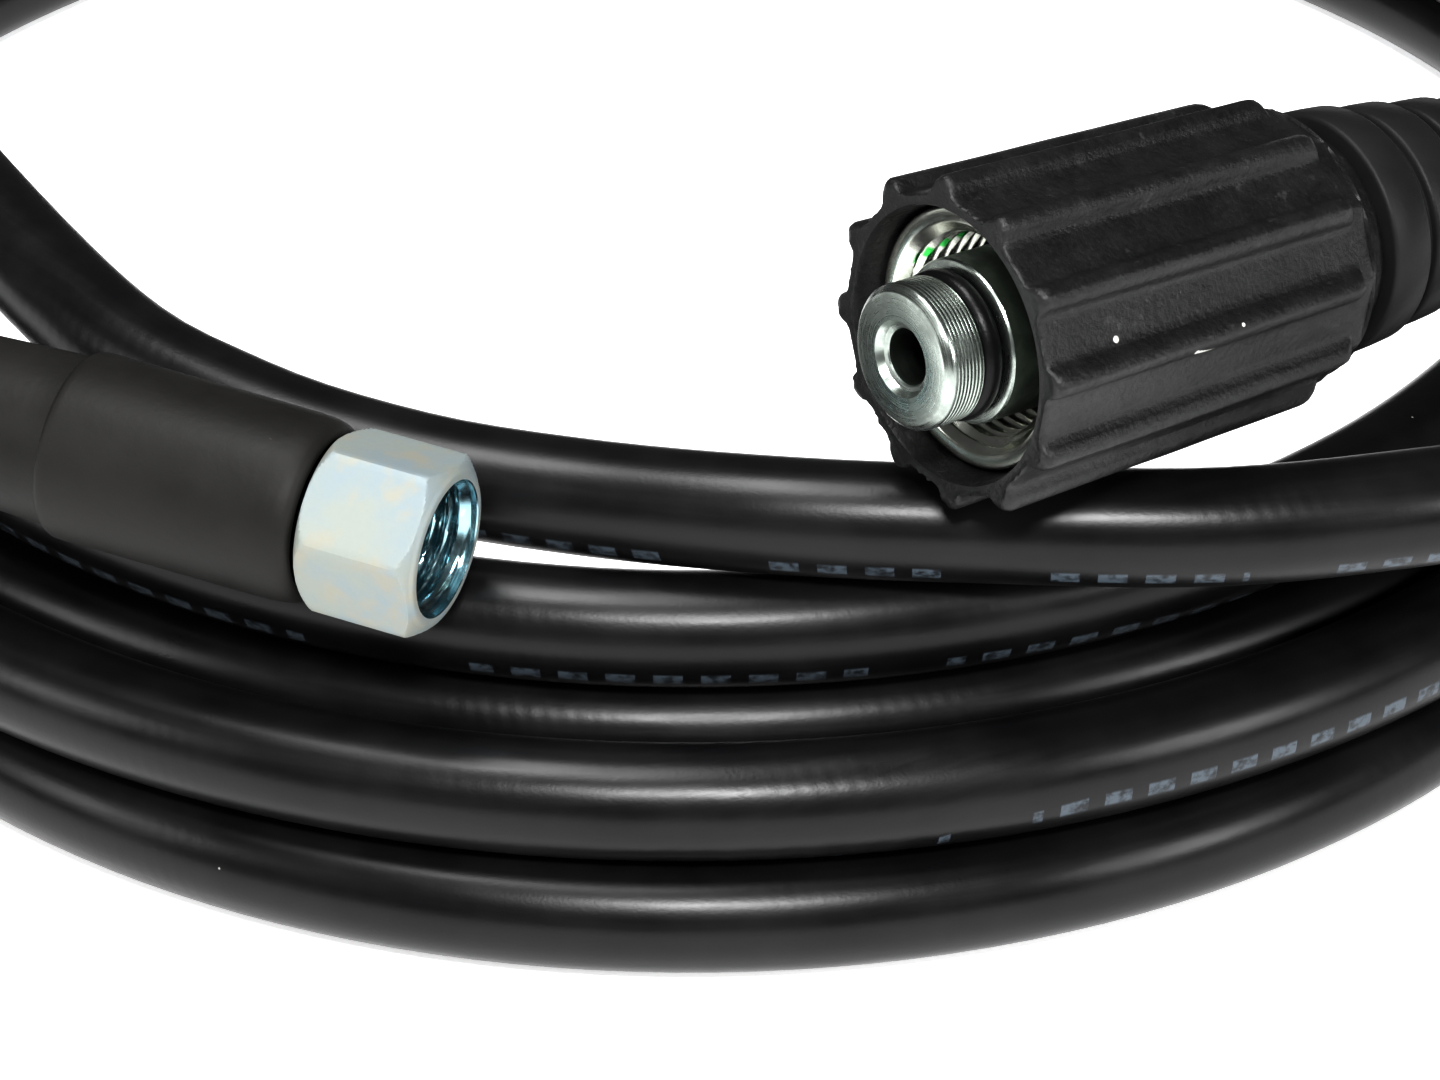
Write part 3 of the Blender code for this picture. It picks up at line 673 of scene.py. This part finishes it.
def hand_cover():
    """The moulded hand cover: twelve round ribs, flat pebbled panels, a plain rim, shoulder and neck."""
    sides = RIBS * COLUMNS
    angles = [TAU * k / sides for k in range(sides)]
    rings = []

    def outer(back, radius, rise, ragged=0.0):
        points = []
        for angle in angles:
            wobble = noise.noise(Vector((math.cos(angle) * 3, math.sin(angle) * 3, back * 0.12))) * 0.05
            burr = 0.0
            if ragged:
                grit = noise.noise(Vector((math.cos(angle) * 21, math.sin(angle) * 21, 4.0)))
                burr = max(0.0, grit) * ragged
            r = cover_radius(angle, back, radius, rise) + wobble + burr
            points.append((r * MM * math.cos(angle), r * MM * math.sin(angle), (back - burr * 0.6) * MM))
        rings.append(points)

    inner_edge = 13.95
    rings.append(ring((inner_edge + 0.10) * MM, 0.02 * MM, sides))
    for share in (0.25, 0.5, 0.75, 0.93):
        points = []
        for angle in angles:
            edge = cover_radius(angle, 0.0, 16.75, 0.45)
            r = inner_edge + (edge - inner_edge) * share
            dish = 0.10 * math.sin(math.pi * share)
            points.append((r * MM * math.cos(angle), r * MM * math.sin(angle), (dish - 0.02) * MM))
        rings.append(points)
    outer(0.0, 16.72, 0.52, 0.40)
    outer(0.10, 16.84, 0.74, 0.30)
    outer(0.35, 16.93, 0.92)
    outer(0.80, 16.98, 1.0)
    steps = 24
    for k in range(steps + 1):
        back = 1.5 + (39.2 - 1.5) * k / steps
        outer(back, 17.0 - back / COVER_LENGTH, 1.0)
    for back, rise in ((40.0, 0.97), (40.7, 0.86), (41.2, 0.66), (41.5, 0.40), (41.65, 0.12), (41.75, 0.0)):
        outer(back, 17.0 - back / COVER_LENGTH, rise)
    outer(42.6, 16.03, 0.0)
    outer(43.3, 15.93, 0.0)
    outer(43.75, 15.62, 0.0)
    neck_and_bore = [(14.2, 43.95), (13.6, 44.0), (12.0, 44.0), (11.75, 44.08), (11.62, 44.35), (11.5, 47.3),
                     (11.38, 47.75), (11.1, 47.95), (10.6, 48.0), (8.6, 48.0), (8.6, 25.4), (13.5, 25.4),
                     (13.55, 14.0), (13.6, 3.0), (13.78, 1.2), (13.88, 0.35)]
    rings += turned(neck_and_bore, sides)
    made = piece("hand_cover", rings, HAND, [COVER_LOOK], "hand_nut", sharp=50)
    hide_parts("hand_nut_cover")


THREAD_PITCH = 1.5


def thread_ring(back, crest, root, sides, mouth):
    """One ring of an inside thread, in millimetres; mouth is the least radius here."""
    points = []
    for k in range(sides):
        angle = TAU * k / sides
        phase = (back / THREAD_PITCH - k / sides) % 1.0
        wave = abs(2 * phase - 1)
        cut = min(1.0, max(0.0, (wave - 0.22) / 0.62))
        radius = max(crest + (root - crest) * cut, mouth)
        points.append((radius * MM * math.cos(angle), radius * MM * math.sin(angle), back * MM))
    return points


def hand_thread():
    """The metal nut in the cover, with its inside thread and bright chamfered mouth."""
    sides = 112
    front, rear, lip = 3.0, 25.0, 21.0
    rings = turned(rounded([(11.75, front), (13.2, front), (13.2, rear), (8.7, rear), (8.7, lip)],
                           {1: 0.35, 2: 0.4}), sides)
    rings += turned([(10.4, lip), (10.9, lip - 0.2)], sides)
    rows = int((lip - 0.4 - front) / THREAD_PITCH * 12)
    for i in range(rows, -1, -1):
        back = front + 0.12 + (lip - 0.4 - front - 0.12) * i / rows
        rings.append(thread_ring(back, 10.22, 11.06, sides, 11.72 - (back - front) * 0.95))
    made = piece("hand_thread", rings, HAND, [NUT_LOOK], "hand_nut", sharp=40)
    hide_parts("hand_nut")


def spigot_pieces():
    """The spigot with its turned nose disc, groove, shank and flange, and the O-ring in the groove."""
    nose = -5.5
    profile = [(2.85, 30.0), (2.85, nose + 1.0), (2.98, nose + 0.85), (3.38, nose + 0.72), (3.50, nose + 0.5),
               (3.9, nose)]
    profile += [(6.35, nose), (6.62, nose + 0.06), (7.10, nose + 0.50), (7.26, nose + 0.72)]
    groove_pitch = 0.44
    at = nose + 0.95
    while at < nose + 4.1:
        profile += [(7.30, at), (7.30, at + groove_pitch * 0.55), (7.20, at + groove_pitch * 0.78)]
        at += groove_pitch
    profile += [(7.28, nose + 4.42), (7.16, nose + 4.58), (5.6, nose + 4.6), (5.6, nose + 7.2),
                (7.9, nose + 7.2)]
    shank_start = len(profile)
    profile += [(8.15, nose + 7.28), (8.3, nose + 7.5), (8.3, 16.6), (9.6, 17.6), (9.6, 20.6), (7.3, 20.6),
                (7.3, 30.0)]
    # The bore, the shank and the flange take the darker steel, which is painted shade deep inside the nut
    made = piece("spigot_turned", turned(profile, 112), HAND, [SPIGOT_LOOK, SHANK_SHADE_LOOK], "hose",
                 sharp=28, look_of=lambda i: 1 if i == 0 or i >= shank_start + 1 else 0)
    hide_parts("spigot")

    thick, middle, back = 1.24, 6.35, nose + 5.9
    rings = []
    for k in range(20):
        angle = TAU * k / 20
        rings.append(ring((middle + thick * math.cos(angle)) * MM, (back + thick * math.sin(angle)) * MM, 96))
    rubber = piece("seal_ring", rings, HAND, [O_RING_LOOK], "hose", sharp=80)
    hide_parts("o_ring")


def boot():
    """The stepped rubber bend protector behind the hand nut."""
    start, length, rings_count, tail_radius = 48.4, 34.0, 5, 7.9
    pitch = length / rings_count
    profile = [(8.1, start)]
    for k in range(rings_count):
        radius = 12.8 + (tail_radius - 12.8) * k / rings_count
        from_ = start + k * pitch
        to = from_ + pitch
        profile += [
            (radius - 0.55, from_), (radius - 0.2, from_ + 0.10), (radius, from_ + 0.45),
            (radius - 0.12, from_ + pitch * 0.4), (radius - 0.3, to - 1.95), (radius - 0.5, to - 1.6),
            (radius - 0.9, to - 1.42), (radius - 1.75, to - 1.2), (radius - 1.8, to - 0.9),
            (radius - 1.8, to - 0.1),
        ]
    end = start + length
    profile += [(tail_radius, end + 0.1), (tail_radius - 0.1, end + 2.2), (tail_radius - 0.35, end + 2.75),
                (tail_radius - 0.9, end + 3.0), (6.3, end + 3.0), (6.3, 58.0), (8.1, 58.0)]
    made = piece("boot_moulded", turned(profile, 72), HAND, [BOOT_LOOK], "hose", sharp=45)
    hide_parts("bend_protector")


# The hexagon nut, in millimetres: half its width across flats, and its corners with a little wear
HEX_SIDES = 144
HEX_FLAT = 8.5
HEX_CORNER = 9.715


def hex_ring(limit, back):
    """A ring of the hexagon nut in millimetres: its flats, cut back to a round limit."""
    points = []
    for k in range(HEX_SIDES):
        angle = HEX_ROLL + TAU * k / HEX_SIDES
        across = (k % (HEX_SIDES // 6)) / (HEX_SIDES // 6) * TAU / 6 - TAU / 12
        radius = min(HEX_FLAT / math.cos(across), limit, HEX_CORNER)
        points.append((radius * MM * math.cos(angle), radius * MM * math.sin(angle), back * MM))
    return points


def hex_nut():
    """The hexagon union nut: a chamfered hexagon with a crimped round rim and a coarse inside thread."""
    length = 13.0
    rings = [ring(7.15 * MM, 0.02 * MM, HEX_SIDES, HEX_ROLL), ring(7.42 * MM, 0.0, HEX_SIDES, HEX_ROLL),
             ring(7.78 * MM, 0.02 * MM, HEX_SIDES, HEX_ROLL), ring(8.02 * MM, 0.12 * MM, HEX_SIDES, HEX_ROLL)]
    for k in range(9):
        share = k / 8
        rings.append(hex_ring(8.2 + 1.6 * share, 0.30 + 1.05 * share**1.15))
    for back in (3.0, 6.0, 9.0, 11.0):
        rings.append(hex_ring(99.0, back))
    for k in range(9):
        share = 1 - k / 8
        rings.append(hex_ring(8.15 + 1.65 * share, length - 0.05 - 1.45 * share**1.6))
    outer = len(rings)
    for radius, back in ((7.6, length), (4.6, length), (4.6, 9.4), (6.9, 9.4)):
        rings.append(ring(radius * MM, back * MM, HEX_SIDES, HEX_ROLL))
    rows = 52
    for i in range(rows, -1, -1):
        back = 0.75 + (9.2 - 0.75) * i / rows
        rings.append(thread_ring(back, 6.2, 6.92, HEX_SIDES, 7.45 - back * 0.62))
    for radius, back in ((7.02, 0.45), (7.06, 0.15)):
        rings.append(ring(radius * MM, back * MM, HEX_SIDES, HEX_ROLL))
    made = piece("hex_turned", rings, HEX, [HEX_LOOK, HEX_BORE_LOOK], "hex_nut", sharp=24,
                 look_of=lambda i: 1 if i >= outer + 1 else 0)
    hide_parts("hex_nut")
    return made


def nipple():
    """The steel nipple with its cone and water hole, deep in the hexagon nut."""
    profile = [(1.9, 18.7), (1.9, 7.2), (2.05, 6.5), (2.35, 6.1), (2.6, 6.0), (3.7, 6.0), (3.9, 6.08),
               (5.4, 7.5), (5.5, 7.75), (5.5, 9.0), (4.2, 9.0), (4.2, 18.7)]
    made = piece("nipple_turned", turned(profile, 72), HEX, [HEX_BORE_LOOK], "hose", sharp=30)
    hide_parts("nipple")
    return made


def sleeve():
    """The rubber sleeve behind the hexagon nut: its front rolls in, and it steps down near its middle."""
    start, step, end = 13.4, 41.4, 63.4
    profile = [(8.1, start), (8.35, start), (8.75, start + 0.08), (9.15, start + 0.38), (9.42, start + 0.95),
               (9.60, start + 1.9), (9.70, start + 3.4), (9.76, start + 8.0), (9.80, step - 6.0),
               (9.84, step - 1.2),
               (9.80, step - 0.55), (9.62, step - 0.15), (9.30, step), (9.02, step), (8.92, step + 0.35),
               (8.88, step + 3.0), (8.2, end - 5.0), (7.7, end - 1.4), (7.4, end - 0.5), (6.9, end),
               (6.3, end),
               (6.3, 44.3), (8.1, 44.3)]
    made = piece("sleeve_moulded", turned(profile, 112), HEX, [SLEEVE_LOOK], "hose", sharp=50)
    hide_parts("rubber_sleeve")
    return made


hand_cover()
hand_thread()
spigot_pieces()
boot()
HEX_NUT = hex_nut()
NIPPLE = nipple()
SLEEVE = sleeve()

HOSE.data.materials.append(HOSE_LOOK)
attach(HOSE, "hose")
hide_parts("hose_coil", "hose_hand_end", "hose_hex_end")

for node in ("hand_end_ferrule", "hex_end_ferrule"):
    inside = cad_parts[node]
    inside.data.materials.clear()
    inside.data.materials.append(FERRULE_LOOK)


# Floor, lights and backdrop

def floor():
    """A plain pale floor that glows a little, so that it stays white as in a bright studio."""
    made, tree, shader = look("floor_white", (0.86, 0.86, 0.86), 0.7)
    shader.inputs["Emission Color"].default_value = (1.0, 1.0, 1.0, 1.0)
    shader.inputs["Emission Strength"].default_value = 0.70
    mesh = bpy.data.meshes.new("floor")
    half = 3.0
    corners = [(-half, -half, 0), (half, -half, 0), (half, half, 0), (-half, half, 0)]
    mesh.from_pydata(corners, [], [(0, 1, 2, 3)])
    mesh.materials.append(made)
    plane = bpy.data.objects.new("floor", mesh)
    bpy.context.scene.collection.objects.link(plane)


def lamp(name, place, aim, size, power):
    """A soft white rectangular light at a place, facing a point."""
    data = bpy.data.lights.new(name, "AREA")
    data.shape = "RECTANGLE"
    data.size, data.size_y = size
    data.energy = power
    made = bpy.data.objects.new(name, data)
    bpy.context.scene.collection.objects.link(made)
    made.location = place
    made.rotation_euler = (Vector(aim) - Vector(place)).to_track_quat("-Z", "Y").to_euler()


def studio():
    """Soft lights in front, above and at both sides, and a plain white world."""
    world = bpy.data.worlds.new("studio")
    world.use_nodes = True
    background = world.node_tree.nodes["Background"]
    background.inputs["Color"].default_value = (1.0, 1.0, 1.0, 1.0)
    background.inputs["Strength"].default_value = 0.12
    bpy.context.scene.world = world
    aim = (0.0, -0.09, 0.03)
    lamp("front_box", (0.02, -0.80, 0.86), aim, (0.26, 0.12), 15.0)
    lamp("top_box", (-0.22, -0.10, 1.05), aim, (0.5, 0.35), 12.0)
    lamp("right_box", (0.85, -0.70, 0.50), aim, (0.25, 0.35), 7.0)
    lamp("left_box", (-0.95, -0.45, 0.55), aim, (0.35, 0.4), 4.0)
    view = bpy.context.scene.view_settings
    view.view_transform = "Standard"
    view.gamma = 0.76


floor()
studio()
